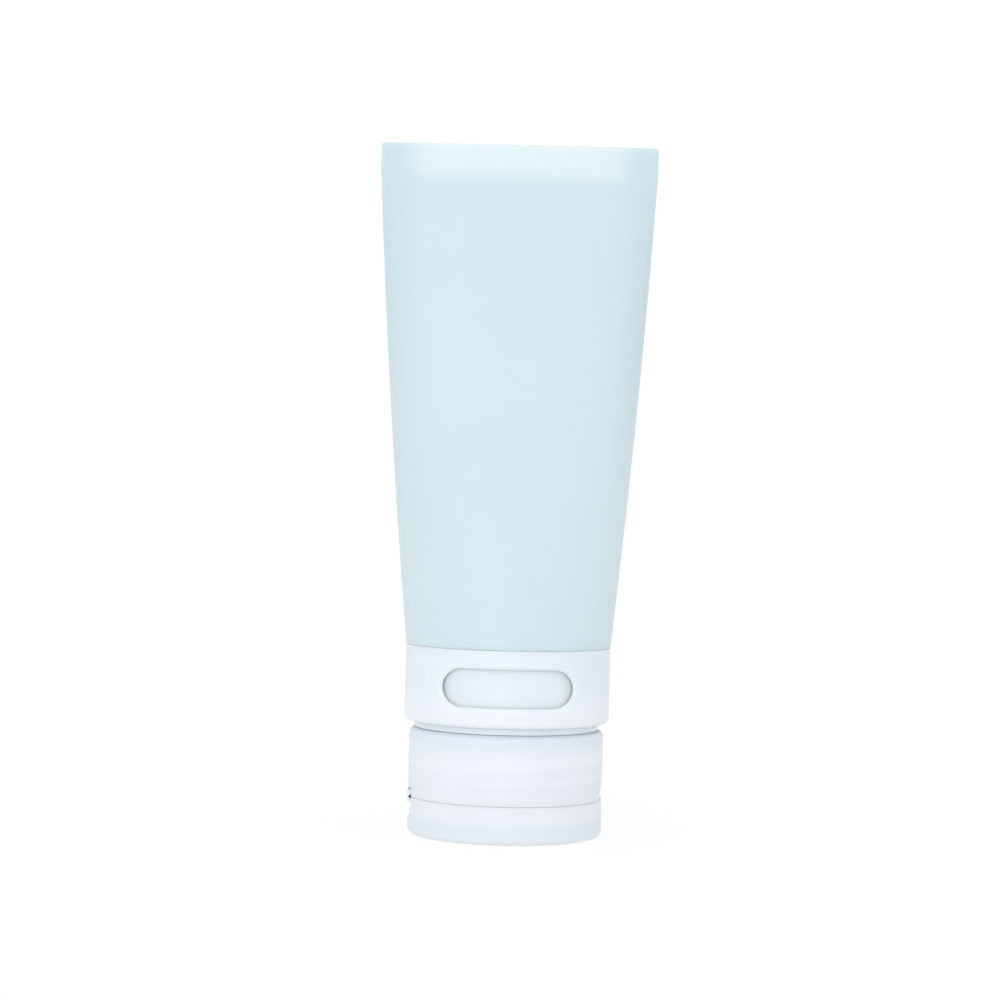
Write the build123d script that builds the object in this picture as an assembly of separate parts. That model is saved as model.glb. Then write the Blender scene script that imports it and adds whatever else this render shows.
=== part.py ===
from build123d import *
import os
from math import copysign, cos, hypot, pi, sin, sqrt

# A silicone squeeze tube that stands upside down on its flip-top cap. Lengths are in millimetres.
# z = 0 is the flat face of the closed lid and +Z points up to the sealed end of the tube.
# The window of the collar faces -Y, the lid's hinge is at -X and its thumb notch at +X.

# Heights, from the bottom of the stack to its top
lid_height = 7.4  # flat face to rim
seam_gap = 0.2  # open seam between the lid's rim and the cap's rim
cap_height = 13.6  # rim to the open end of the skirt
collar_gap = 1.4  # open slot between the screwed-down cap and the sleeve
sleeve_height = 15.05
turning_gap = 0.15  # end play of what turns or is trapped
taper_height = 94.9  # from the collar to the sealed lip
lip_height = 4.8  # flat sealed lip at the far end

# Widths and radii that show
collar_radius = 20.4
cap_step = 1.05  # how much smaller the radius of the cap and the lid is
flange_step = 1.1  # the same of the flange seen in the slot over the cap, against the cap
lip_width = 55.4
lip_thickness = 3.4
side_bulge = 0.55  # how far the middle of the tube's side stands out of a straight line
front_bulge = 2.5  # the same for its front and back

# Walls
silicone_wall = 1.8
silicone_floor = 1.8  # of the shoulder over the collar
seal_depth = 3.0  # solid silicone under the flat lip
sleeve_wall = 1.2
label_wall = 0.8
drum_wall = 1.2
neck_wall = 1.6
cap_wall = 1.45
deck_wall = 1.6
lid_wall = 1.35
lid_floor = 1.2

# Fits
running_gap = 0.25  # radial, between the turning sleeve and what it turns on
ease = 0.05  # radial, between pieces that are pushed together and stay
thread_room = 1.3  # radial, between the cap's bore and the neck, for both threads
lid_gap = 0.3  # radial, between the lid and what it closes over
guide_gap = 0.1  # radial, of the retainer and the valve in their well

# Folded end of the silicone neck, which is the cap's gasket
fold_thickness = 1.2
neck_ring_shelf = 1.2  # height of the ring's inner shelf above its flange

# Snap bead that holds the sleeve
bead_height = 1.0
bead_reach = 0.3  # beyond the sleeve's bore
sleeve_hook = 0.75  # height of the hook below the bead
hook_reach = 0.2  # inwards from the sleeve's bore
flange_gap = 0.2  # above the open end of the cap
key_width = 2.0  # rib on the drum that stops the label ring turning
key_gap = 0.1

# Window of the sleeve
window_width = 25.8
window_height = 7.8
window_rise = 7.65  # its middle above the sleeve's lower end
window_chamfer = 0.3

# Deck of the cap, with the spout and the well for the valve
boss_wall = 1.7  # round the well
boss_height = 1.4
orifice_wall = 1.2
seat_rib_width = 0.8  # ring that the lid closes over
seat_rib_height = 0.8
well_share = 0.707  # of the mouth's radius
well_wall = 1.2
well_rise = 1.2  # above the deck's inner face

# Valve and the ring that holds it
valve_thickness = 1.0
valve_head_share = 0.56  # of the well's radius
valve_rise = 1.3  # of the domed head
membrane = 0.5
slit_share = 1.23  # of the head's radius
slit_width = 0.16
orifice_share = 0.885  # the spout's orifice, of the head's radius
retainer_height = 1.8
retainer_width = 1.6
retainer_chamfer = 0.5

# Inside of the lid
ring_wall = 0.9
ring_gap = 0.4  # between the lid's inner ring and the cap's deck
plug_room = 1.2  # radial, between the orifice and the plug
plug_taper = 0.25  # narrower at its tip
plug_gap = 0.4  # between the plug's tip and the valve

# Living hinge and the recesses round it
hinge_width = 10.0
hinge_thickness = 0.8
hinge_web = 0.3
hinge_web_height = 0.3
hinge_land_up = 1.2  # on the cap, above the seam
hinge_land_down = 1.1  # on the lid, below the seam
hinge_room = 0.4  # round the strap
scoop_height = 3.4  # of the slanted dip under the strap, on the lid
scoop_foot = 0.15  # of it that is left at its lower end

# Thumb notch in the cap's rim
notch_depth = 0.8
notch_height = 4.0

# Rounded edges
base_fillet = 0.8
cap_fillet = 1.3
sleeve_bottom_fillet = 1.1
small_chamfer = 0.25
lip_chamfer = 0.5

overrun = 1.0  # how far a cut or a fused piece runs past its face
edge_match = 0.01  # how near an edge must lie to a named place to be picked

# Cross-sections of the taper: an ellipse at the collar that becomes a flat slot at the lip
section_count = 6
section_points = 24
round_power = 2.0
slot_power = 3.0

# Levels worked out from the stack
cap_rim_z = lid_height + seam_gap
deck_z = cap_rim_z + deck_wall
boss_z = cap_rim_z - boss_height
well_z = boss_z + orifice_wall
cap_open_z = cap_rim_z + cap_height
lip_face_z = deck_z + turning_gap
neck_end_z = lip_face_z + fold_thickness
flange_z = cap_open_z + flange_gap
shelf_z = flange_z + neck_ring_shelf
sleeve_z = cap_open_z + collar_gap
hook_z = sleeve_z + sleeve_hook
bead_z = hook_z + turning_gap
drum_z = bead_z + bead_height
sleeve_top_z = sleeve_z + sleeve_height
seat_z = sleeve_top_z + turning_gap
valve_top_z = well_z + valve_thickness

# Radii worked out from the collar inwards
cap_radius = collar_radius - cap_step
flange_radius = cap_radius - flange_step
sleeve_bore = collar_radius - sleeve_wall
bead_radius = sleeve_bore + bead_reach
groove_radius = bead_radius + turning_gap
hook_radius = sleeve_bore - hook_reach
label_radius = sleeve_bore - running_gap
label_bore = label_radius - label_wall
drum_radius = label_bore - ease
drum_bore = drum_radius - drum_wall
throat_radius = drum_bore - ease
throat_bore = throat_radius - silicone_wall

# Radii worked out from the cap inwards
cap_bore = cap_radius - cap_wall
neck_radius = cap_bore - thread_room
neck_bore = neck_radius - neck_wall
silicone_neck = neck_bore - ease
mouth_radius = silicone_neck - silicone_wall
lid_bore = cap_radius - lid_wall
seat_rib_radius = lid_bore - lid_gap
well_radius = mouth_radius * well_share
boss_radius = well_radius + boss_wall
valve_head_radius = well_radius * valve_head_share
slit_length = valve_head_radius * slit_share
orifice_radius = valve_head_radius * orifice_share
plug_radius = orifice_radius - plug_room
hinge_face = cap_radius - hinge_thickness


def turned(outline):
    """A solid of revolution about Z from its half section, (radius, height) by corner."""
    corners = [(radius, 0, height) for radius, height in outline]
    return revolve(make_face(Polyline(corners, close=True)), axis=Axis.Z)


def circles(solid, radius, height):
    """The circular edges of a turned solid at one radius and height."""
    return [
        edge
        for edge in solid.edges().filter_by(GeomType.CIRCLE)
        if abs(edge.radius - radius) < edge_match
        and abs(edge.arc_center.Z - height) < edge_match
    ]


def block(x_range, y_range, z_range):
    """A box between the given limits."""
    size = [high - low for low, high in (x_range, y_range, z_range)]
    middle = [(low + high) / 2 for low, high in (x_range, y_range, z_range)]
    return Pos(*middle) * Box(*size)


def prism_along_y(outline, width):
    """A prism of an (x, z) outline, centred on the XZ plane."""
    corners = [(x, 0, z) for x, z in outline]
    return extrude(make_face(Polyline(corners, close=True)), amount=width / 2, both=True)


def oval(height, inset):
    """Cross-section of the taper at a height over the collar, drawn in by the inset all round."""
    share = height / taper_height
    bulge = 4 * share * (1 - share)
    half_width = collar_radius + (lip_width / 2 - collar_radius) * share + side_bulge * bulge - inset
    half_depth = collar_radius + (lip_thickness / 2 - collar_radius) * share + front_bulge * bulge - inset
    power = 2 / (round_power + (slot_power - round_power) * share)
    points = []
    for index in range(section_points):
        turn = 2 * pi * index / section_points
        x = half_width * copysign(abs(cos(turn)) ** power, cos(turn))
        y = half_depth * copysign(abs(sin(turn)) ** power, sin(turn))
        points.append((x, y))
    return Pos(0, 0, seat_z + height) * make_face(Spline(points, periodic=True))


def tapered(low, high, inset):
    """Loft of the taper between two heights over the collar."""
    step = (high - low) / (section_count - 1)
    return loft([oval(low + step * index, inset) for index in range(section_count)])


def make_squeeze_tube():
    """Silicone tube: round at the collar, flat at the sealed lip, with a neck folded over the neck ring."""
    body = tapered(0, taper_height, 0)
    lip = extrude(oval(taper_height, 0), amount=lip_height - lip_chamfer, dir=(0, 0, 1))
    edge = loft(
        [
            Pos(0, 0, lip_height - lip_chamfer) * oval(taper_height, 0),
            Pos(0, 0, lip_height) * oval(taper_height, lip_chamfer),
        ],
        ruled=True,
    )
    neck = turned(
        [
            (0, lip_face_z),
            (neck_radius, lip_face_z),
            (neck_radius, neck_end_z),
            (silicone_neck, neck_end_z),
            (silicone_neck, shelf_z),
            (throat_radius, shelf_z),
            (throat_radius, seat_z + overrun),
            (0, seat_z + overrun),
        ]
    )
    cavity = tapered(silicone_floor, taper_height - seal_depth, silicone_wall)
    bore = turned(
        [
            (0, lip_face_z - overrun),
            (mouth_radius, lip_face_z - overrun),
            (mouth_radius, shelf_z),
            (throat_bore, shelf_z + silicone_wall),
            (throat_bore, seat_z + silicone_floor + overrun),
            (0, seat_z + silicone_floor + overrun),
        ]
    )
    return body + lip + edge + neck - cavity - bore


def make_neck_ring():
    """Rigid ring pushed over the silicone neck: threaded spigot, flange, snap bead and label drum."""
    ring = turned(
        [
            (neck_bore, neck_end_z),
            (neck_radius, neck_end_z),
            (neck_radius, flange_z),
            (flange_radius, flange_z),
            (flange_radius, bead_z),
            (bead_radius, bead_z),
            (bead_radius, drum_z),
            (drum_radius, drum_z),
            (drum_radius, sleeve_top_z),
            (drum_bore, sleeve_top_z),
            (drum_bore, shelf_z),
            (neck_bore, shelf_z),
        ]
    )
    ring = chamfer(circles(ring, bead_radius, bead_z) + circles(ring, bead_radius, drum_z), small_chamfer)
    key = block(
        (-key_width / 2, key_width / 2),
        (drum_radius - drum_wall / 2, label_radius - ease),
        (drum_z, sleeve_top_z),
    )
    return ring + key


def make_label_ring():
    """Split band for the name of the contents, bare here, that sits on the drum and is held by its key."""
    band = turned(
        [
            (label_bore, drum_z),
            (label_radius, drum_z),
            (label_radius, sleeve_top_z),
            (label_bore, sleeve_top_z),
        ]
    )
    half_slot = key_width / 2 + key_gap
    slot = block(
        (-half_slot, half_slot),
        (label_bore - overrun, label_radius + overrun),
        (drum_z - overrun, sleeve_top_z + overrun),
    )
    return band - slot


def make_window_sleeve():
    """Outer sleeve that turns over the label ring, snapped over the bead, with an obround window."""
    sleeve = turned(
        [
            (hook_radius, sleeve_z),
            (collar_radius, sleeve_z),
            (collar_radius, sleeve_top_z),
            (sleeve_bore, sleeve_top_z),
            (sleeve_bore, drum_z + turning_gap),
            (groove_radius, drum_z + turning_gap),
            (groove_radius, hook_z),
            (hook_radius, hook_z),
        ]
    )
    sleeve = fillet(circles(sleeve, collar_radius, sleeve_z), sleeve_bottom_fillet)
    sleeve = chamfer(circles(sleeve, collar_radius, sleeve_top_z), small_chamfer)
    window_z = sleeve_z + window_rise
    front = Plane(origin=(0, 0, window_z), x_dir=(1, 0, 0), z_dir=(0, -1, 0))
    sleeve -= extrude(front * SlotOverall(window_width, window_height), amount=collar_radius + overrun)
    outer_edges = [
        edge
        for edge in sleeve.edges()
        if abs(hypot((edge @ 0.5).X, (edge @ 0.5).Y) - collar_radius) < edge_match
        and (edge @ 0.5).Y < -sleeve_bore / 2
        and abs((edge @ 0.5).Z - window_z) < window_height / 2 + edge_match
    ]
    return chamfer(outer_edges, window_chamfer)


def make_screw_cap():
    """Screw cap: skirt over the neck, deck with the spout boss, valve well, hinge recess and thumb notch."""
    cap = turned(
        [
            (orifice_radius, boss_z),
            (boss_radius, boss_z),
            (boss_radius, cap_rim_z),
            (seat_rib_radius - seat_rib_width, cap_rim_z),
            (seat_rib_radius - seat_rib_width, cap_rim_z - seat_rib_height),
            (seat_rib_radius, cap_rim_z - seat_rib_height),
            (seat_rib_radius, cap_rim_z),
            (cap_radius, cap_rim_z),
            (cap_radius, cap_open_z),
            (cap_bore, cap_open_z),
            (cap_bore, deck_z),
            (well_radius + well_wall, deck_z),
            (well_radius + well_wall, deck_z + well_rise),
            (well_radius, deck_z + well_rise),
            (well_radius, well_z),
            (orifice_radius, well_z),
        ]
    )
    cap = fillet(circles(cap, cap_radius, cap_open_z), cap_fillet)
    cap = chamfer(circles(cap, boss_radius, boss_z), small_chamfer)
    reach = cap_radius + overrun
    recess = block(
        (-reach, -hinge_face),
        (-hinge_width / 2 - hinge_room, hinge_width / 2 + hinge_room),
        (cap_rim_z - overrun, cap_rim_z + hinge_land_up + hinge_room),
    )
    notch = prism_along_y(
        [
            (cap_radius - notch_depth, cap_rim_z),
            (cap_radius, cap_rim_z + notch_height),
            (reach, cap_rim_z + notch_height),
            (reach, cap_rim_z),
        ],
        cap_radius,
    )
    return cap - recess - notch


def membrane_arc(rise):
    """Arc of the valve's domed head, raised by the given amount, from the axis to the head's edge."""
    edge_z = well_z + rise
    crown_z = edge_z + valve_rise
    dome_radius = (valve_head_radius**2 + valve_rise**2) / (2 * valve_rise)
    half = valve_head_radius / 2
    half_z = crown_z - dome_radius + sqrt(dome_radius**2 - half**2)
    return ThreePointArc((0, 0, crown_z), (half, 0, half_z), (valve_head_radius, 0, edge_z))


def make_drip_valve():
    """Silicone valve: flat flange in the cap's well and a domed head with a cross slit."""
    flange = turned(
        [
            (valve_head_radius - membrane, well_z),
            (well_radius - guide_gap, well_z),
            (well_radius - guide_gap, valve_top_z),
            (valve_head_radius - membrane, valve_top_z),
        ]
    )
    lower, upper = membrane_arc(0), membrane_arc(membrane)
    outline = lower + Line(lower @ 1, upper @ 1) + upper + Line(upper @ 0, lower @ 0)
    head = revolve(make_face(outline), axis=Axis.Z)
    slit = block(
        (-slit_length / 2, slit_length / 2),
        (-slit_width / 2, slit_width / 2),
        (well_z, valve_top_z + valve_rise + overrun),
    )
    return flange + head - slit - Rot(0, 0, 90) * slit


def make_valve_retainer():
    """Ring pressed over the valve's flange in the cap's well."""
    outer = well_radius - guide_gap
    ring = turned(
        [
            (outer - retainer_width, valve_top_z),
            (outer, valve_top_z),
            (outer, valve_top_z + retainer_height),
            (outer - retainer_width, valve_top_z + retainer_height),
        ]
    )
    return chamfer(circles(ring, outer - retainer_width, valve_top_z + retainer_height), retainer_chamfer)


def make_flip_lid():
    """Lid: flat face to stand on, outer wall, inner ring round the spout boss and a plug for the orifice."""
    ring_bore = boss_radius + lid_gap
    ring_top_z = cap_rim_z - ring_gap
    plug_z = well_z + valve_rise - plug_gap - plug_taper
    lid = turned(
        [
            (0, 0),
            (cap_radius, 0),
            (cap_radius, lid_height),
            (lid_bore, lid_height),
            (lid_bore, lid_floor),
            (ring_bore + ring_wall, lid_floor),
            (ring_bore + ring_wall, ring_top_z),
            (ring_bore, ring_top_z),
            (ring_bore, lid_floor),
            (plug_radius, lid_floor),
            (plug_radius - plug_taper, plug_z),
            (0, plug_z),
        ]
    )
    lid = fillet(circles(lid, cap_radius, 0), base_fillet)
    lid = chamfer(circles(lid, plug_radius - plug_taper, plug_z), small_chamfer)
    reach = cap_radius + overrun
    strap_foot_z = cap_rim_z - hinge_land_down - hinge_room
    scoop = prism_along_y(
        [
            (-hinge_face, lid_height + overrun),
            (-hinge_face, strap_foot_z),
            (scoop_foot - cap_radius, strap_foot_z - scoop_height),
            (-reach, strap_foot_z - scoop_height),
            (-reach, lid_height + overrun),
        ],
        hinge_width + 2 * hinge_room,
    )
    return lid - scoop


def make_living_hinge():
    """Strap across the seam: two lands joined by a thin web that bends."""
    pivot_z = (lid_height + cap_rim_z) / 2
    web_face = cap_radius - hinge_web
    return prism_along_y(
        [
            (-cap_radius, cap_rim_z - hinge_land_down),
            (-cap_radius, cap_rim_z + hinge_land_up),
            (-hinge_face, cap_rim_z + hinge_land_up),
            (-hinge_face, pivot_z + hinge_thickness - hinge_web),
            (-web_face, pivot_z + hinge_web_height / 2),
            (-web_face, pivot_z - hinge_web_height / 2),
            (-hinge_face, pivot_z - hinge_thickness + hinge_web),
            (-hinge_face, cap_rim_z - hinge_land_down),
        ],
        hinge_width,
    )


pieces = {
    "squeeze_tube": make_squeeze_tube,
    "neck_ring": make_neck_ring,
    "label_ring": make_label_ring,
    "window_sleeve": make_window_sleeve,
    "screw_cap": make_screw_cap,
    "drip_valve": make_drip_valve,
    "valve_retainer": make_valve_retainer,
    "flip_lid": make_flip_lid,
    "living_hinge": make_living_hinge,
}

os.makedirs("parts", exist_ok=True)
for name, make in pieces.items():
    export_step(make(), "parts/" + name + ".step")
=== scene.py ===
from math import cos, pi, radians, sin, sqrt, tan

import bpy
import numpy as np
from mathutils import Matrix


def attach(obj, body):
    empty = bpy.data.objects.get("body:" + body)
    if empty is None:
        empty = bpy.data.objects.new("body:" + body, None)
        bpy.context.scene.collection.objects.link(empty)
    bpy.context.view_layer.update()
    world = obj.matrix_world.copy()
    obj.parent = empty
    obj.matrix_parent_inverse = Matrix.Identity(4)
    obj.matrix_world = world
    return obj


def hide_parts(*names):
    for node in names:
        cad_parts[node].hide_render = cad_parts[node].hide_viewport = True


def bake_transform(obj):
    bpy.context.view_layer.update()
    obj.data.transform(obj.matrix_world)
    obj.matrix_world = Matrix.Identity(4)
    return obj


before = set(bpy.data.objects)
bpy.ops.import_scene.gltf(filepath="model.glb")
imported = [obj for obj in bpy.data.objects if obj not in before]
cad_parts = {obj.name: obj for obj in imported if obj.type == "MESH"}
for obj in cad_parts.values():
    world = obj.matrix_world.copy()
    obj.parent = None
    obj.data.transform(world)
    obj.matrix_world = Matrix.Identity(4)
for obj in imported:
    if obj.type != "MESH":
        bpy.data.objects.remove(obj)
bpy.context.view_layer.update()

# Travel squeeze bottle: a silicone tube that stands on its flip-top cap. Lengths are given in
# millimetres and turned into metres by mm. z = 0 is the flat face of the closed lid, +Z points to
# the sealed end, the window faces -Y and the hinge is at -X.

# Silicone tube: one soft moulding of pale blue, matt, cloudy silicone, 1.8 mm thick. It is moulded
# round, and its far end is pressed flat and cured shut. Its neck passes through the rigid collar and
# is folded over the collar's end, where the lip is the gasket for the cap.
mm = 0.001
collar_radius, wall = 20.4, 1.8
mouth_z, fold_z, shelf_z, seat_z = 9.35, 10.55, 22.6, 37.68
neck_radius, fold_radius, throat_radius = 14.95, 16.6, 16.85
lip_top, lip_height, lip_half_width, lip_half_thickness = 137.5, 4.8, 27.7, 1.7
lip_foot = lip_top - lip_height
cavity_top, cavity_half_gap = 129.7, 0.8
side_bulge, front_bulge, slot_power = 0.55, 2.5, 3.0


def linear(code):
    """Linear colour with alpha from an sRGB hex code."""
    shares = [int(code[start : start + 2], 16) / 255 for start in (0, 2, 4)]
    return (*[s / 12.92 if s <= 0.04045 else ((s + 0.055) / 1.055) ** 2.4 for s in shares], 1.0)


def add(tree, kind, inputs=None, **settings):
    """Adds a node with its settings, and fills its inputs with values or other nodes' outputs."""
    node = tree.nodes.new(kind)
    for name, value in settings.items():
        setattr(node, name, value)
    for name, value in (inputs or {}).items():
        if isinstance(value, bpy.types.NodeSocket):
            tree.links.new(value, node.inputs[name])
        else:
            node.inputs[name].default_value = value
    return node


def blank(name):
    """New material, its empty tree and the place in the object that the tree starts from."""
    material = bpy.data.materials.new(name)
    material.use_nodes = True
    tree = material.node_tree
    tree.nodes.clear()
    return material, tree, add(tree, "ShaderNodeTexCoord").outputs["Object"]


def split(tree, vector):
    """Outputs X, Y and Z of a vector."""
    return add(tree, "ShaderNodeSeparateXYZ", {"Vector": vector}).outputs


def reckoned(tree, operation, *terms):
    """What a math operation makes of numbers and other nodes' outputs."""
    return add(tree, "ShaderNodeMath", dict(enumerate(terms)), operation=operation).outputs["Value"]


def ramp(tree, value, low, high, start=0.0, end=1.0, kind="SMOOTHSTEP"):
    """Number that goes from start to end while the value goes from low to high."""
    limits = {"Value": value, "From Min": low, "From Max": high, "To Min": start, "To Max": end}
    return add(tree, "ShaderNodeMapRange", limits, interpolation_type=kind).outputs["Result"]


def patches(tree, place, size, detail, roughness=0.5):
    """Shares that drift over patches of the given size."""
    noise = {"Vector": place, "Scale": 1 / size, "Detail": detail, "Roughness": roughness}
    return add(tree, "ShaderNodeTexNoise", noise).outputs["Fac"]


def tinted(tree, tone, share, code):
    """Tone that gives way to the colour of a hex code by the share."""
    colours = {"Factor": share, "A": tone, "B": linear(code)}
    return add(tree, "ShaderNodeMix", colours, data_type="RGBA").outputs["Result"]


def grained(tree, place, size, detail, strength, depth):
    """Normal of a face with grains of the given size and depth."""
    bumps = {"Height": patches(tree, place, size, detail), "Strength": strength, "Distance": depth}
    return add(tree, "ShaderNodeBump", bumps).outputs["Normal"]


def surfaced(tree, inputs):
    """Ends a material's tree with a surface of the given inputs."""
    surface = add(tree, "ShaderNodeBsdfPrincipled", inputs)
    add(tree, "ShaderNodeOutputMaterial", {"Surface": surface.outputs["BSDF"]})
    return surface


silicone, tree, place = blank("pale blue moulded silicone")
cloud_size, grain_size, grain_depth = 26 * mm, 0.22 * mm, 0.03 * mm
# The eye sees a soft, even blue with faint clouds where the wall is thicker or thinner.
tone = tinted(tree, linear("C4D6DF"), patches(tree, place, cloud_size, 3.0, 0.55), "CEDEE4")
# The flat end is solid silicone, with no hollow behind it. It is painted paler, strongest in its middle and
# fading towards its ends: partly the solid silicone's own paler tone, partly a painted highlight on the
# middle of the flat.
solid_low, solid_high = (cavity_top - 0.1) * mm, (lip_foot - 0.3) * mm
highlight_half, highlight_reach, highlight_least = 14 * mm, 26 * mm, 0.1
axes = split(tree, place)
aside = reckoned(tree, "ABSOLUTE", axes["X"])
solid_end = ramp(tree, axes["Z"], solid_low, solid_high)
middle_highlight = ramp(tree, aside, highlight_half, highlight_reach, 1.0, highlight_least)
tone = tinted(tree, tone, reckoned(tree, "MULTIPLY", solid_end, middle_highlight), "D6E1E4")
# The folded side edges are painted darker: painted shade where the wall turns away from the light, weak near
# the collar and strongest towards the flat end.
edge_share, edge_shade_low, edge_shade_high, edge_shade_least = 0.66, 40 * mm, 122 * mm, 0.1
widths = (collar_radius * mm, lip_half_width * mm)
half_width = ramp(tree, axes["Z"], seat_z * mm, lip_foot * mm, *widths, "LINEAR")
painted_edge_shade = ramp(tree, reckoned(tree, "DIVIDE", aside, half_width), edge_share, 1.0)
edge_shade_rise = ramp(tree, axes["Z"], edge_shade_low, edge_shade_high, edge_shade_least)
tone = tinted(tree, tone, reckoned(tree, "MULTIPLY", painted_edge_shade, edge_shade_rise), "C1D2DA")
surfaced(
    tree,
    {
        "Base Color": tone,
        "Roughness": 0.5,
        "IOR": 1.41,
        "Subsurface Weight": 0.4,
        "Subsurface Radius": (1.0, 1.15, 1.25),
        "Subsurface Scale": 2.4 * mm,
        "Normal": grained(tree, place, grain_size, 2.0, 0.12, grain_depth),
    },
)


def rounded(corners, steps=5):
    """Outline (radius, height) of the corners given as (radius, height, rounding)."""
    points = []
    for index, (r, z, rounding) in enumerate(corners):
        if rounding == 0:
            points.append((r, z))
            continue
        corner = np.array((r, z))
        before = np.array(corners[index - 1][:2]) - corner
        after = np.array(corners[(index + 1) % len(corners)][:2]) - corner
        before, after = before / np.linalg.norm(before), after / np.linalg.norm(after)
        half_angle = np.arccos(np.clip(before @ after, -1, 1)) / 2
        middle = (before + after) / np.linalg.norm(before + after)
        centre = corner + middle * rounding / sin(half_angle)
        start = corner + before * rounding / tan(half_angle) - centre
        end = corner + after * rounding / tan(half_angle) - centre
        for step in range(steps + 1):
            share = step / steps
            spoke = start * (1 - share) + end * share
            points.append(tuple(centre + spoke / np.linalg.norm(spoke) * rounding))
    return points


def divided(points, spacing, closed):
    """Outline with every run longer than the spacing cut into equal lengths."""
    fine = [points[0]]
    for start, end in zip(points, points[1:] + points[:1] if closed else points[1:]):
        start, end = np.array(start), np.array(end)
        count = max(1, int(np.ceil(np.linalg.norm(end - start) / spacing)))
        fine += [tuple(start + (end - start) * (step + 1) / count) for step in range(count)]
    return fine[:-1] if closed else fine


def solid(name, vertices, faces):
    """Piece from vertices in millimetres and its faces."""
    mesh = bpy.data.meshes.new(name)
    mesh.from_pydata([[value * mm for value in vertex] for vertex in vertices], [], faces)
    piece = bpy.data.objects.new(name, mesh)
    bpy.context.scene.collection.objects.link(piece)
    return piece


def turned(name, outline, closed=True, spacing=3.0, segments=192):
    """Piece turned about Z from an outline in millimetres. A point on the axis becomes a pole."""
    vertices, rings, faces = [], [], []
    for r, z in divided(outline, spacing, closed):
        count = segments if r > 0 else 1
        rings.append(range(len(vertices), len(vertices) + count))
        turns = [2 * pi * index / segments for index in range(count)]
        vertices += [(r * cos(turn), r * sin(turn), z) for turn in turns]
    for ring, following in zip(rings, rings[1:] + rings[:1] if closed else rings[1:]):
        for index in range(segments if max(len(ring), len(following)) > 1 else 0):
            nearby = (index + 1) % segments
            corners = [ring[index % len(ring)], ring[nearby % len(ring)]]
            corners += [following[nearby % len(following)], following[index % len(following)]]
            faces.append(list(dict.fromkeys(corners)))
    return solid(name, vertices, faces)


tube_outline = rounded(
    [
        (collar_radius - lip_half_thickness, lip_top, 0),
        (collar_radius, lip_top, 0.5),
        (collar_radius, seat_z, 0.06),
        (throat_radius, seat_z, 0.3),
        (throat_radius, shelf_z, 0.2),
        (neck_radius, shelf_z, 0.2),
        (neck_radius, fold_z, 0.15),
        (fold_radius, fold_z, 0.35),
        (fold_radius, mouth_z, 0.35),
        (neck_radius - wall, mouth_z, 0.5),
        (neck_radius - wall, shelf_z, 1.2),
        (throat_radius - wall, shelf_z + wall, 1.2),
        (throat_radius - wall, seat_z + wall, 0.9),
        (collar_radius - wall, seat_z + wall, 1.4),
        (collar_radius - wall, cavity_top, 0.35),
        (collar_radius - wall - cavity_half_gap, cavity_top, 0),
    ]
)
round_tube = turned("silicone_tube", tube_outline[::-1], closed=False, spacing=1.6)


def settle(piece):
    """Makes what a piece's modifiers give its own mesh, and removes them."""
    bpy.context.view_layer.update()
    depsgraph = bpy.context.evaluated_depsgraph_get()
    mesh = bpy.data.meshes.new_from_object(piece.evaluated_get(depsgraph))
    piece.modifiers.clear()
    piece.data = mesh
    return piece


def recipe(name, numbers):
    """New geometry tree with the named numbers and a material as inputs, and its inputs by name."""
    tree = bpy.data.node_groups.new(name, "GeometryNodeTree")
    kinds = {"Geometry": "Geometry", **dict.fromkeys(numbers, "Float"), "Material": "Material"}
    for title, kind in kinds.items():
        tree.interface.new_socket(title, in_out="INPUT", socket_type="NodeSocket" + kind)
    tree.interface.new_socket("Geometry", in_out="OUTPUT", socket_type="NodeSocketGeometry")
    given = tree.nodes.new("NodeGroupInput")
    return tree, {title: given.outputs[title] for title in kinds}


def worked_out(tree, known, steps):
    """Adds each step's result to the known values. A step is its name, operation and terms."""
    for name, operation, *terms in steps:
        known[name] = reckoned(tree, operation, *[known.get(term, term) for term in terms])


def point(tree, x, y, z):
    """Vector of three numbers or outputs."""
    return add(tree, "ShaderNodeCombineXYZ", {"X": x, "Y": y, "Z": z}).outputs["Vector"]


def concluded(tree, geometry, material):
    """Ends a geometry tree with its real mesh in the given material."""
    real = add(tree, "GeometryNodeRealizeInstances", {"Geometry": geometry}).outputs["Geometry"]
    covered = add(tree, "GeometryNodeSetMaterial", {"Geometry": real, "Material": material})
    add(tree, "NodeGroupOutput", {"Geometry": covered.outputs["Geometry"]})


def grown(piece, tree, material, lengths, numbers):
    """Piece as shaped by a geometry tree from its lengths in millimetres and its plain numbers."""
    values = {"Material": material, **numbers, **{name: length * mm for name, length in lengths.items()}}
    modifier = piece.modifiers.new(tree.name, "NODES")
    modifier.node_group = tree
    for item in tree.interface.items_tree:
        if item.in_out == "INPUT" and item.name in values:
            modifier[item.identifier] = values[item.name]
    piece.update_tag()
    return settle(piece)


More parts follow.
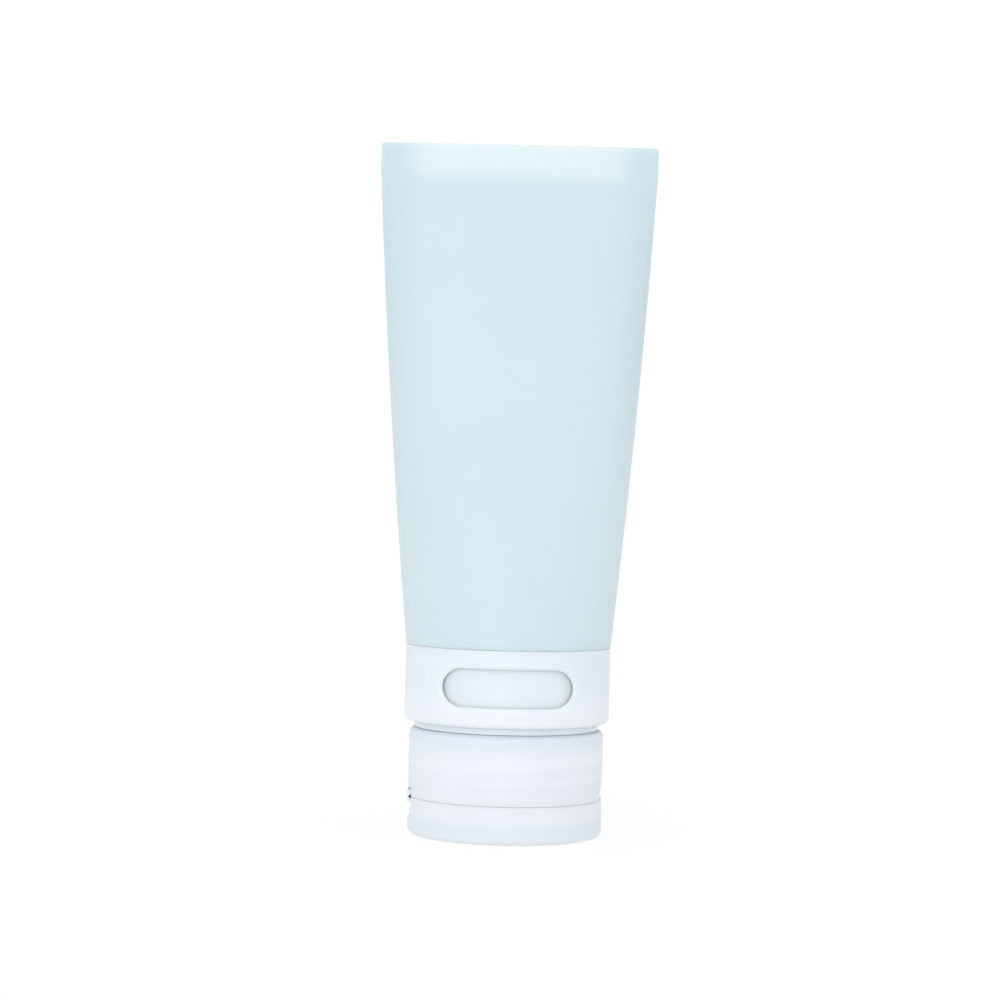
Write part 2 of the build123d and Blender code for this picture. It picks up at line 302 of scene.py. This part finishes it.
# The press keeps the tube round at its seat and flattens it through ovals to a slot at its lip.
press_lengths = {
    "Collar Radius": collar_radius,
    "Seat": seat_z,
    "Taper": lip_foot - seat_z,
    "Lip Half Width": lip_half_width,
    "Lip Half Thickness": lip_half_thickness,
    "Side Bulge": side_bulge,
    "Front Bulge": front_bulge,
}
press, known = recipe("press flat", [*press_lengths, "Slot Power"])
axes = split(press, add(press, "GeometryNodeInputPosition").outputs["Position"])
known |= {"x": axes["X"], "y": axes["Y"], "z": axes["Z"]}
worked_out(
    press,
    known,
    [
        ("radius squared", "MULTIPLY", "x", "x"),
        ("y squared", "MULTIPLY", "y", "y"),
        ("sum", "ADD", "radius squared", "y squared"),
        ("radius", "SQRT", "sum"),
        ("inset", "SUBTRACT", "Collar Radius", "radius"),
        ("height", "SUBTRACT", "z", "Seat"),
        ("any share", "DIVIDE", "height", "Taper"),
        ("long share", "MAXIMUM", "any share", 0.0),
        ("share", "MINIMUM", "long share", 1.0),
        ("rest", "SUBTRACT", 1.0, "share"),
        ("product", "MULTIPLY", "share", "rest"),
        ("hump", "MULTIPLY", "product", 4.0),
        ("width change", "SUBTRACT", "Lip Half Width", "Collar Radius"),
        ("straight width", "MULTIPLY_ADD", "width change", "share", "Collar Radius"),
        ("full width", "MULTIPLY_ADD", "Side Bulge", "hump", "straight width"),
        ("half width", "SUBTRACT", "full width", "inset"),
        ("depth change", "SUBTRACT", "Lip Half Thickness", "Collar Radius"),
        ("straight depth", "MULTIPLY_ADD", "depth change", "share", "Collar Radius"),
        ("full depth", "MULTIPLY_ADD", "Front Bulge", "hump", "straight depth"),
        ("any depth", "SUBTRACT", "full depth", "inset"),
        ("half depth", "MAXIMUM", "any depth", 0.0),
        ("extra power", "SUBTRACT", "Slot Power", 2.0),
        ("section power", "MULTIPLY_ADD", "extra power", "share", 2.0),
        ("power", "DIVIDE", 2.0, "section power"),
        ("cosine", "DIVIDE", "x", "radius"),
        ("sine", "DIVIDE", "y", "radius"),
        ("cosine size", "ABSOLUTE", "cosine"),
        ("sine size", "ABSOLUTE", "sine"),
        ("cosine side", "SIGN", "cosine"),
        ("sine side", "SIGN", "sine"),
        ("cosine curve", "POWER", "cosine size", "power"),
        ("sine curve", "POWER", "sine size", "power"),
        ("cosine reach", "MULTIPLY", "cosine curve", "cosine side"),
        ("sine reach", "MULTIPLY", "sine curve", "sine side"),
        ("pressed x", "MULTIPLY", "cosine reach", "half width"),
        ("pressed y", "MULTIPLY", "sine reach", "half depth"),
        ("above seat", "GREATER_THAN", "height", 0.0),
    ],
)
spot = point(press, known["pressed x"], known["pressed y"], known["z"])
moved = {"Geometry": known["Geometry"], "Selection": known["above seat"], "Position": spot}
pressed = add(press, "GeometryNodeSetPosition", moved).outputs["Geometry"]
sealed = add(press, "GeometryNodeMergeByDistance", {"Geometry": pressed, "Distance": 0.002 * mm})
concluded(press, sealed.outputs["Geometry"], known["Material"])
tube = grown(round_tube, press, silicone, press_lengths, {"Slot Power": slot_power})


def dress(piece, material, node, body=None, sharp_angle=48):
    """Gives a finished piece its material and smooth shading, hides the CAD part of the given node, and
    hangs the piece under its body if it has one.
    """
    mesh = piece.data
    mesh.materials.clear()
    mesh.materials.append(material)
    mesh.polygons.foreach_set("material_index", [0] * len(mesh.polygons))
    mesh.validate()
    mesh.shade_smooth()
    mesh.set_sharp_from_angle(angle=radians(sharp_angle))
    shading = piece.modifiers.new("even shading", "WEIGHTED_NORMAL")
    shading.keep_sharp = True
    settle(piece)
    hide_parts(node)
    if body:
        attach(piece, body)


dress(tube, silicone, "squeeze_tube", body="bottle")

# Turning sleeve: frosted polypropylene ring, 1.2 mm thick, snapped over the collar's bead so that it
# turns. Its obround window shows one name of the label band. Injection moulded, cut edges rounded.
sleeve_wall, sleeve_foot, sleeve_top, hook_radius = 1.2, 22.6, seat_z - 0.03, 19.0
sleeve_bore = collar_radius - sleeve_wall
bead_radius, bead_foot, bead_top, bead_room = 19.5, 23.5, 24.5, 0.15
groove_radius, groove_foot, groove_top = bead_radius + bead_room, bead_foot - bead_room, bead_top + bead_room
window_z, window_half_width, window_half_height, window_round = 30.25, 12.6, 3.7, 0.75
haze_size, frost_size, frost_depth = 9 * mm, 0.12 * mm, 0.02 * mm
polypropylene = {
    "IOR": 1.49,
    "Subsurface Weight": 0.25,
    "Subsurface Radius": (1.0, 1.05, 1.1),
    "Subsurface Scale": 1.5 * mm,
}


def frosted(name, low, high):
    """Frosted plastic whose tone drifts between two hex codes, and its tree, place, tone and surface."""
    material, tree, place = blank(name)
    # The eye sees cool, milky plastic with a soft haze in it, and no clear reflection.
    tone = tinted(tree, linear(low), patches(tree, place, haze_size, 2.0), high)
    frost = grained(tree, place, frost_size, 1.0, 0.08, frost_depth)
    looks = {"Base Color": tone, "Roughness": 0.5, "Transmission Weight": 0.06, "Normal": frost}
    return material, tree, place, tone, surfaced(tree, {**polypropylene, **looks})


def combined(piece, other, operation="DIFFERENCE"):
    """Cuts the other from the piece, or joins it to the piece. The other is used up."""
    modifier = piece.modifiers.new(operation, "BOOLEAN")
    modifier.operation, modifier.solver, modifier.object = operation, "EXACT", other
    settle(piece)
    bpy.data.objects.remove(other)


sleeve = turned(
    "frosted_sleeve",
    rounded(
        [
            (hook_radius, sleeve_foot, 0.12),
            (collar_radius, sleeve_foot, 1.1),
            (collar_radius, sleeve_top, 0.06),
            (sleeve_bore, sleeve_top, 0.2),
            (sleeve_bore, groove_top, 0.1),
            (groove_radius, groove_top, 0.12),
            (groove_radius, groove_foot, 0.1),
            (hook_radius, groove_foot, 0.12),
        ]
    ),
)
# The window's cutter is an obround. Where it meets the sleeve's face it flares by a quarter round.
bend_steps, run_steps, flare_steps = 28, 24, 5
cutter_inside, cutter_outside = 12.0, 22.5
straight = window_half_width - window_half_height
rim = []
for middle, side in ((straight, 1), (-straight, -1)):
    rim += [(middle, side, pi * (index + 0.5) / bend_steps - pi / 2) for index in range(bend_steps)]
    rim += [(middle - side * 2 * straight * step / run_steps, side, pi / 2) for step in range(1, run_steps)]
turns = [pi / 2 * step / flare_steps for step in range(flare_steps + 1)]
flare = [(window_round * (1 - cos(turn)), window_round * (1 - sin(turn)), None) for turn in turns]
vertices = []
for growth, depth, plane in [(0.0, 0.0, cutter_inside), *flare, (window_round, 0.0, cutter_outside)]:
    reach = window_half_height + growth
    for middle, side, turn in rim:
        x = middle + side * reach * cos(turn)
        y = plane or sqrt((collar_radius - depth) ** 2 - x * x)
        vertices.append((x, -y, window_z + side * reach * sin(turn)))
count = len(rim)
last_ring = len(vertices) - count
faces = []
for ring in range(0, last_ring, count):
    for index in range(count):
        nearby = (index + 1) % count
        faces.append((ring + index, ring + nearby, ring + count + nearby, ring + count + index))
faces += [list(range(count))[::-1], list(range(last_ring, last_ring + count))]
combined(sleeve, solid("window", vertices, faces))
sleeve_plastic, tree, place, tone, surface = frosted("frosted polypropylene", "DCE5EE", "E4EBF3")
# Its lower half is painted paler: painted light from below, fading out upwards.
light_foot, light_top, light_share = 24.5 * mm, 31 * mm, 0.5
painted_low_light = ramp(tree, split(tree, place)["Z"], light_foot, light_top, light_share, 0.0)
tree.links.new(tinted(tree, tone, painted_low_light, "EEF1F3"), surface.inputs["Base Color"])
dress(sleeve, sleeve_plastic, "window_sleeve", body="sleeve")

# Label band: split ring of satin polypropylene that sits on the collar's drum behind the sleeve, its
# slot over the drum's key. The names of contents would be printed on it, and it is bare here.
drum_radius, band_room, band_wall = 18.1, 0.05, 0.8
band_bore = drum_radius + band_room
band_radius = band_bore + band_wall
slot_half, slot_half_depth, slot_foot, slot_top = 1.1, 1.2, 24.0, 38.4
drift_size = 6 * mm


def prism(name, outline, half_width):
    """Prism of a counter-clockwise (x, z) outline, centred on y = 0."""
    count = len(outline)
    vertices = [(x, side * half_width, z) for side in (-1, 1) for x, z in outline]
    sides = [(i, count + i, count + (i + 1) % count, (i + 1) % count) for i in range(count)]
    return solid(name, vertices, [list(range(count)), list(range(count, 2 * count))[::-1], *sides])


def block(name, half_length, foot, top, half_width, y=0.0):
    """Block of the given half sizes along X and Y between two heights, with its middle at y."""
    outline = [(-half_length, foot), (half_length, foot), (half_length, top), (-half_length, top)]
    piece = prism(name, outline, half_width)
    piece.data.transform(Matrix.Translation((0, y * mm, 0)))
    return piece


label, tree, place = blank("satin white polypropylene")
# The eye sees plain white plastic with a low, even sheen.
tone = tinted(tree, linear("D6DDE5"), patches(tree, place, drift_size, 2.0), "DCE3EA")
surfaced(tree, {"Base Color": tone, "Roughness": 0.42, "IOR": 1.49})
band = turned(
    "label_band",
    rounded(
        [
            (band_bore, bead_top, 0.1),
            (band_radius, bead_top, 0.15),
            (band_radius, sleeve_top, 0.15),
            (band_bore, sleeve_top, 0.1),
        ],
        steps=3,
    ),
)
band_middle = (band_bore + band_radius) / 2
combined(band, block("label slot", slot_half, slot_foot, slot_top, slot_half_depth, band_middle))
dress(band, label, "label_ring", body="bottle")

# Rigid neck collar: injection moulded, natural polypropylene, clearer than the frosted pieces. From
# its mouth up it has the threaded spigot, the flange, the snap bead and the drum with its key.
neck_room = 0.05
collar_bore, drum_bore = neck_radius + neck_room, throat_radius + neck_room
flange_radius, flange_foot = 18.25, 21.26
key_half, key_half_depth, key_y = 1.0, 0.7, drum_radius + 0.1
lead, thread_depth, thread_half, thread_fade = 4.25, 0.9, 0.85, 0.12
neck_crest, neck_start, neck_end = 13.35, -0.45, 1.48
flow_size = 5 * mm
natural, tree, place = blank("natural polypropylene")
# The eye sees slightly milky, half clear plastic with a soft gloss and faint flow marks.
tone = tinted(tree, linear("EBF3FE"), patches(tree, place, flow_size, 3.0), "F3F8FF")
surfaced(tree, {**polypropylene, "Base Color": tone, "Roughness": 0.3, "Transmission Weight": 0.1})

# A thread follows a right-handed helix of one turn per 4.25 mm and fades out at both ends.
thread_points, thread_sides, least_scale = 193, 20, 0.12
thread_lengths = ["Radius", "Lead", "Front Height", "Depth", "Half Thickness"]
helix, known = recipe("thread", [*thread_lengths, "Start Turn", "End Turn", "Fade"])
known["index"] = add(helix, "GeometryNodeInputIndex").outputs["Index"]
worked_out(
    helix,
    known,
    [
        ("share", "DIVIDE", "index", thread_points - 1.0),
        ("turns", "SUBTRACT", "End Turn", "Start Turn"),
        ("turn", "MULTIPLY_ADD", "share", "turns", "Start Turn"),
        ("angle", "MULTIPLY_ADD", "turn", 2 * pi, -pi / 2),
        ("cosine", "COSINE", "angle"),
        ("sine", "SINE", "angle"),
        ("x", "MULTIPLY", "cosine", "Radius"),
        ("y", "MULTIPLY", "sine", "Radius"),
        ("z", "MULTIPLY_ADD", "turn", "Lead", "Front Height"),
        ("from start", "SUBTRACT", "turn", "Start Turn"),
        ("to end", "SUBTRACT", "End Turn", "turn"),
        ("nearer end", "MINIMUM", "from start", "to end"),
        ("fade share", "DIVIDE", "nearer end", "Fade"),
        ("full fade", "MINIMUM", "fade share", 1.0),
        ("fade root", "SQRT", "full fade"),
        ("scale", "MAXIMUM", "fade root", least_scale),
        ("width", "MULTIPLY", "Half Thickness", 2.0),
        ("reach", "MULTIPLY", "Depth", 2.0),
    ],
)
line = add(helix, "GeometryNodeMeshLine", {"Count": thread_points}, mode="OFFSET").outputs["Mesh"]
spot = point(helix, known["x"], known["y"], known["z"])
placed = add(helix, "GeometryNodeSetPosition", {"Geometry": line, "Position": spot}).outputs["Geometry"]
path = add(helix, "GeometryNodeMeshToCurve", {"Mesh": placed}).outputs["Curve"]
level = add(helix, "GeometryNodeSetCurveNormal", {"Curve": path}, mode="Z_UP").outputs["Curve"]
circle = add(helix, "GeometryNodeCurvePrimitiveCircle", {"Resolution": thread_sides, "Radius": 0.5})
oval = {"Geometry": circle.outputs["Curve"], "Scale": point(helix, known["reach"], known["width"], 1.0)}
section = add(helix, "GeometryNodeTransform", oval).outputs["Geometry"]
sweep = {"Curve": level, "Profile Curve": section, "Fill Caps": True, "Scale": known["scale"]}
swept = add(helix, "GeometryNodeCurveToMesh", sweep).outputs["Mesh"]
concluded(helix, swept, known["Material"])


def thread(name, radius, crest, start, end, material):
    """Thread of the given radius from one turn to another, with its crest at that height in front."""
    lengths = dict(zip(thread_lengths, (radius, lead, crest, thread_depth, thread_half)))
    numbers = {"Start Turn": start, "End Turn": end, "Fade": thread_fade}
    return grown(solid(name, [], []), helix, material, lengths, numbers)


collar = turned(
    "neck_collar",
    rounded(
        [
            (collar_bore, fold_z, 0.1),
            (fold_radius, fold_z, 0.1),
            (fold_radius, flange_foot, 0.4),
            (flange_radius, flange_foot, 0.08),
            (flange_radius, bead_foot, 0.1),
            (bead_radius, bead_foot, 0.3),
            (bead_radius, bead_top, 0.3),
            (drum_radius, bead_top, 0.1),
            (drum_radius, sleeve_top, 0.15),
            (drum_bore, sleeve_top, 0.15),
            (drum_bore, shelf_z, 0.1),
            (collar_bore, shelf_z, 0.1),
        ],
        steps=4,
    ),
)
combined(collar, block("key", key_half, bead_top, sleeve_top, key_half_depth, key_y), "UNION")
combined(collar, thread("neck thread", fold_radius, neck_crest, neck_start, neck_end, natural), "UNION")
dress(collar, natural, "neck_ring", body="bottle")

# Screw cap: frosted polypropylene, one moulding with the lid and the strap. Its skirt has the inner
# thread, its deck the spout boss, the seat rib and the valve's well, and its rim the thumb notch.
cap_radius, cap_wall, cap_rim, cap_top = collar_radius - 1.05, 1.45, 7.54, 21.2
cap_bore = cap_radius - cap_wall
deck_foot, deck_top, rib_foot, rib_bore, rib_radius = 7.6, 9.2, 6.8, 16.9, 17.7
boss_radius, boss_foot, boss_wall, orifice_radius = 11.0, 6.2, 1.2, 4.6
well_radius, well_wall, well_floor, well_top = 9.3, 1.2, boss_foot + boss_wall, 10.4
cap_crest, cap_start, cap_end = 15.475, -0.67, 0.97
strap_thickness, strap_half_width, strap_room = 0.8, 5.0, 0.4
hinge_x, recess_half_width, cut_reach = strap_thickness - cap_radius, strap_half_width + strap_room, 21.0
recess_foot, recess_side, recess_top = 6.6, 9.0, 9.2
notch_foot, notch_top, notch_half_width = 7.4, 11.8, 9.6
notch_foot_x, notch_top_x = 18.5, 19.39
cap = turned(
    "frosted_cap",
    rounded(
        [
            (orifice_radius, boss_foot, 0.2),
            (boss_radius, boss_foot, 0.3),
            (boss_radius, deck_foot, 0.15),
            (rib_bore, deck_foot, 0.1),
            (rib_bore, rib_foot, 0.2),
            (rib_radius, rib_foot, 0.2),
            (rib_radius, cap_rim, 0.1),
            (cap_radius, cap_rim, 0.05),
            (cap_radius, cap_top, 1.25),
            (cap_bore, cap_top, 0.19),
            (cap_bore, deck_top, 0.5),
            (well_radius + well_wall, deck_top, 0.3),
            (well_radius + well_wall, well_top, 0.2),
            (well_radius, well_top, 0.2),
            (well_radius, well_floor, 0.15),
            (orifice_radius, well_floor, 0.2),
        ]
    ),
)
cap_plastic, tree, place, tone, surface = frosted("frosted polypropylene over a thread", "DCE2E7", "E4E9EE")
combined(cap, thread("cap thread", cap_bore, cap_crest, cap_start, cap_end, cap_plastic), "UNION")
recess_outline = [
    (-cut_reach, recess_foot),
    (hinge_x, recess_foot),
    (hinge_x, recess_side),
    (hinge_x - (recess_top - recess_side), recess_top),
    (-cut_reach, recess_top),
]
combined(cap, prism("hinge recess", recess_outline, recess_half_width))
notch_outline = [
    (notch_foot_x, notch_foot),
    (cut_reach, notch_foot),
    (cut_reach, notch_top),
    (notch_top_x, notch_top),
]
combined(cap, prism("thumb notch", notch_outline, notch_half_width))
# The thread behind the wall is painted onto it as a paler zone with faint, blurred, slanted bands: painted
# light standing for the thread seen through the frosted wall.
band_least, band_most, zone_low, zone_high = 0.2, 0.6, 10.8 * mm, 12.8 * mm
turn_per_length, turn_at_zero = 2 * pi / (lead * mm), -2 * pi * cap_crest / lead - pi / 2
axes = split(tree, place)
climb = reckoned(tree, "MULTIPLY_ADD", axes["Z"], turn_per_length, turn_at_zero)
around = reckoned(tree, "ARCTAN2", axes["Y"], axes["X"])
crest = reckoned(tree, "COSINE", reckoned(tree, "SUBTRACT", climb, around))
painted_thread_bands = ramp(tree, crest, -0.9, 1.0, band_least, band_most)
thread_zone = ramp(tree, axes["Z"], zone_low, zone_high)
tone = tinted(tree, tone, reckoned(tree, "MULTIPLY", painted_thread_bands, thread_zone), "E9EEF3")
# Next to its open end the wall is painted bluer and darker: painted shade of the collar's flange close
# behind it.
flange_shade_low, flange_shade_high = 17.2 * mm, 19.4 * mm
tone = tinted(tree, tone, ramp(tree, axes["Z"], flange_shade_low, flange_shade_high), "DAE3EC")
tree.links.new(tone, surface.inputs["Base Color"])
dress(cap, cap_plastic, "screw_cap", body="cap")

# Flip lid: the flat-faced end that the bottle stands on. Inside it are the ring that closes round the
# spout boss and the plug for the orifice. A slanted dip under the strap frees the hinge, and a small
# dimple in the flat face is the gate mark.
lid_wall, lid_floor, lid_rim = 1.35, 1.2, cap_rim - 0.04
lid_bore = cap_radius - lid_wall
ring_bore, ring_wall, ring_top = boss_radius + 0.3, 0.9, 7.2
plug_radius, plug_tip_radius, plug_top = 3.4, 3.15, 8.05
gate_radius, gate_floor_radius, gate_depth = 1.4, 1.3, 0.25
dip_foot, dip_foot_x, dip_top = 2.7, -19.2, 6.1
lid = turned(
    "frosted_lid",
    rounded(
        [
            (0, gate_depth, 0),
            (gate_floor_radius, gate_depth, 0.1),
            (gate_radius, 0, 0.05),
            (cap_radius, 0, 1.2),
            (cap_radius, lid_rim, 0.05),
            (lid_bore, lid_rim, 0.2),
            (lid_bore, lid_floor, 0.6),
            (ring_bore + ring_wall, lid_floor, 0.3),
            (ring_bore + ring_wall, ring_top, 0.2),
            (ring_bore, ring_top, 0.2),
            (ring_bore, lid_floor, 0.3),
            (plug_radius, lid_floor, 0.3),
            (plug_tip_radius, plug_top, 0.35),
            (0, plug_top, 0),
        ]
    ),
    closed=False,
)
dip_outline = [
    (-cut_reach, dip_foot),
    (dip_foot_x, dip_foot),
    (hinge_x, dip_top),
    (hinge_x, recess_side),
    (-cut_reach, recess_side),
]
combined(lid, prism("hinge dip", dip_outline, recess_half_width))
lid_plastic, tree, place, tone, surface = frosted("frosted polypropylene of the lid", "DEE4E9", "E6EBEF")
# A deeper band low on the wall is painted shade, standing for the flat floor inside seen edge-on through the
# wall.
floor_low, floor_high, floor_share = 2.8 * mm, 4.6 * mm, 0.45
painted_floor_shade = ramp(tree, split(tree, place)["Z"], floor_low, floor_high, floor_share, 0.0)
tree.links.new(tinted(tree, tone, painted_floor_shade, "D4DEE5"), surface.inputs["Base Color"])
dress(lid, lid_plastic, "flip_lid", body="lid")

# Living hinge: the strap of the same moulding between cap and lid. Its two lands are thick, and the
# thin web between them is what bends.
strap_foot, strap_top, strap_bevel = 6.5, 8.8, 0.05
web_foot, web_top, web_thickness, web_slope = 7.35, 7.65, 0.3, 0.35
strap_outline = [
    (-cap_radius, strap_foot + strap_bevel),
    (-cap_radius + strap_bevel, strap_foot),
    (hinge_x, strap_foot),
    (hinge_x, web_foot - web_slope),
    (-cap_radius + web_thickness, web_foot),
    (-cap_radius + web_thickness, web_top),
    (hinge_x, web_top + web_slope),
    (hinge_x, strap_top),
    (-cap_radius + strap_bevel, strap_top),
    (-cap_radius, strap_top - strap_bevel),
]
strap = prism("hinge_strap", divided(strap_outline, spacing=0.08, closed=True), strap_half_width)
dress(strap, lid_plastic, "living_hinge")
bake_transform(strap)

# Drip valve: soft silicone disc that lies in the cap's well. Its domed head is thin and has a cross
# slit that opens when the tube is squeezed.
valve_radius, valve_top = well_radius - 0.15, well_floor + 1.0
head_radius, head_rise, head_wall, head_edge, head_step, head_steps = 5.2, 1.3, 0.5, 8.0, 0.35, 16
slit_half, slit_half_width, slit_foot, slit_top = 3.2, 0.08, 7.0, 10.0
bloom_size = 3 * mm
valve_silicone, tree, place = blank("clear valve silicone")
# The eye sees a dull, cloudy white rubber with a hint of dust on it.
tone = tinted(tree, linear("DDE6EB"), patches(tree, place, bloom_size, 2.0), "EBF0F3")
surfaced(
    tree,
    {
        "Base Color": tone,
        "Roughness": 0.6,
        "IOR": 1.41,
        "Subsurface Weight": 0.5,
        "Subsurface Radius": (1.0, 1.0, 1.0),
        "Subsurface Scale": 1.2 * mm,
    },
)
dome_radius = (head_radius**2 + head_rise**2) / (2 * head_rise)
dome_centre = well_floor + head_rise - dome_radius
radii = [head_radius * step / head_steps for step in range(head_steps)]
dome = [(r, dome_centre + sqrt(dome_radius**2 - r * r)) for r in radii]
dome_back = [(r, z + head_wall) for r, z in dome[::-1]]
flange = rounded(
    [
        (head_radius, well_floor, 0),
        (valve_radius, well_floor, 0.2),
        (valve_radius, valve_top, 0.2),
        (head_radius + head_step, valve_top, 0),
    ],
    steps=4,
)
valve = turned("valve_disc", [*dome, *flange, (head_radius, head_edge), *dome_back], closed=False)
for turn in (0, 90):
    slit = block("slit", slit_half, slit_foot, slit_top, slit_half_width)
    slit.data.transform(Matrix.Rotation(radians(turn), 4, "Z"))
    combined(valve, slit)
dress(valve, valve_silicone, "drip_valve", body="valve")

# Valve retainer: natural polypropylene ring pressed into the well over the valve's flange. The edge
# of its bore is bevelled towards the tube.
retainer_radius, retainer_bore, retainer_top, retainer_bevel = well_radius - 0.1, 7.6, 10.2, 0.5
retainer = turned(
    "retainer_ring",
    rounded(
        [
            (retainer_bore, valve_top, 0.15),
            (retainer_radius, valve_top, 0.15),
            (retainer_radius, retainer_top, 0.2),
            (retainer_bore + retainer_bevel, retainer_top, 0.1),
            (retainer_bore, retainer_top - retainer_bevel, 0.1),
        ],
        steps=4,
    ),
)
dress(retainer, natural, "valve_retainer", body="valve")

# Stage: a pale table that fades out round the bottle, even white surroundings, and one large soft
# light in front, a little to the left and 18 degrees up, as in a white studio.
table_half, table_opacity, fade_start, fade_end = 120, 0.24, 30 * mm, 110 * mm
lamp_size, lamp_distance, lamp_azimuth, lamp_tilt = 500 * mm, 700 * mm, -12, 72
camera_place, camera_tilt, camera_roll = (-2.26 * mm, -504 * mm, 67.4 * mm), 89.9, 1.38
sheet, tree, place = blank("white table")
spread = add(tree, "ShaderNodeVectorMath", {0: place}, operation="LENGTH").outputs["Value"]
opacity = ramp(tree, spread, fade_start, fade_end, table_opacity, 0.0)
clear = add(tree, "ShaderNodeBsdfTransparent").outputs["BSDF"]
white = add(tree, "ShaderNodeBsdfDiffuse", {"Color": linear("FAFBFC")}).outputs["BSDF"]
sheer = add(tree, "ShaderNodeMixShader", {"Fac": opacity, 1: clear, 2: white}).outputs["Shader"]
add(tree, "ShaderNodeOutputMaterial", {"Surface": sheer})
table_corners = [(x * table_half, y * table_half, 0) for x, y in ((-1, -1), (1, -1), (1, 1), (-1, 1))]
table = solid("table", table_corners, [(0, 1, 2, 3)])
table.data.materials.append(sheet)

world = bpy.data.worlds.new("white studio")
world.use_nodes = True
tree = world.node_tree
tree.nodes.clear()
even = add(tree, "ShaderNodeBackground", {"Color": linear("FFFFFF"), "Strength": 1.0})
add(tree, "ShaderNodeOutputWorld", {"Surface": even.outputs["Background"]})
bpy.context.scene.world = world

lamp = bpy.data.lights.new("soft front light", "AREA")
lamp.shape, lamp.size, lamp.energy = "DISK", lamp_size, 1.0
light = bpy.data.objects.new("soft front light", lamp)
light.matrix_world = (
    Matrix.Rotation(radians(lamp_azimuth), 4, "Z")
    @ Matrix.Rotation(radians(lamp_tilt), 4, "X")
    @ Matrix.Translation((0, 0, lamp_distance))
)
bpy.context.scene.collection.objects.link(light)

lens = bpy.data.cameras.new("camera")
lens.lens, lens.sensor_width = 90.63, 36.0
camera = bpy.data.objects.new("camera", lens)
camera.matrix_world = (
    Matrix.Translation(camera_place)
    @ Matrix.Rotation(radians(camera_tilt), 4, "X")
    @ Matrix.Rotation(radians(camera_roll), 4, "Z")
)
bpy.context.scene.collection.objects.link(camera)
bpy.context.scene.camera = camera
bpy.context.scene.view_settings.view_transform = "Standard"
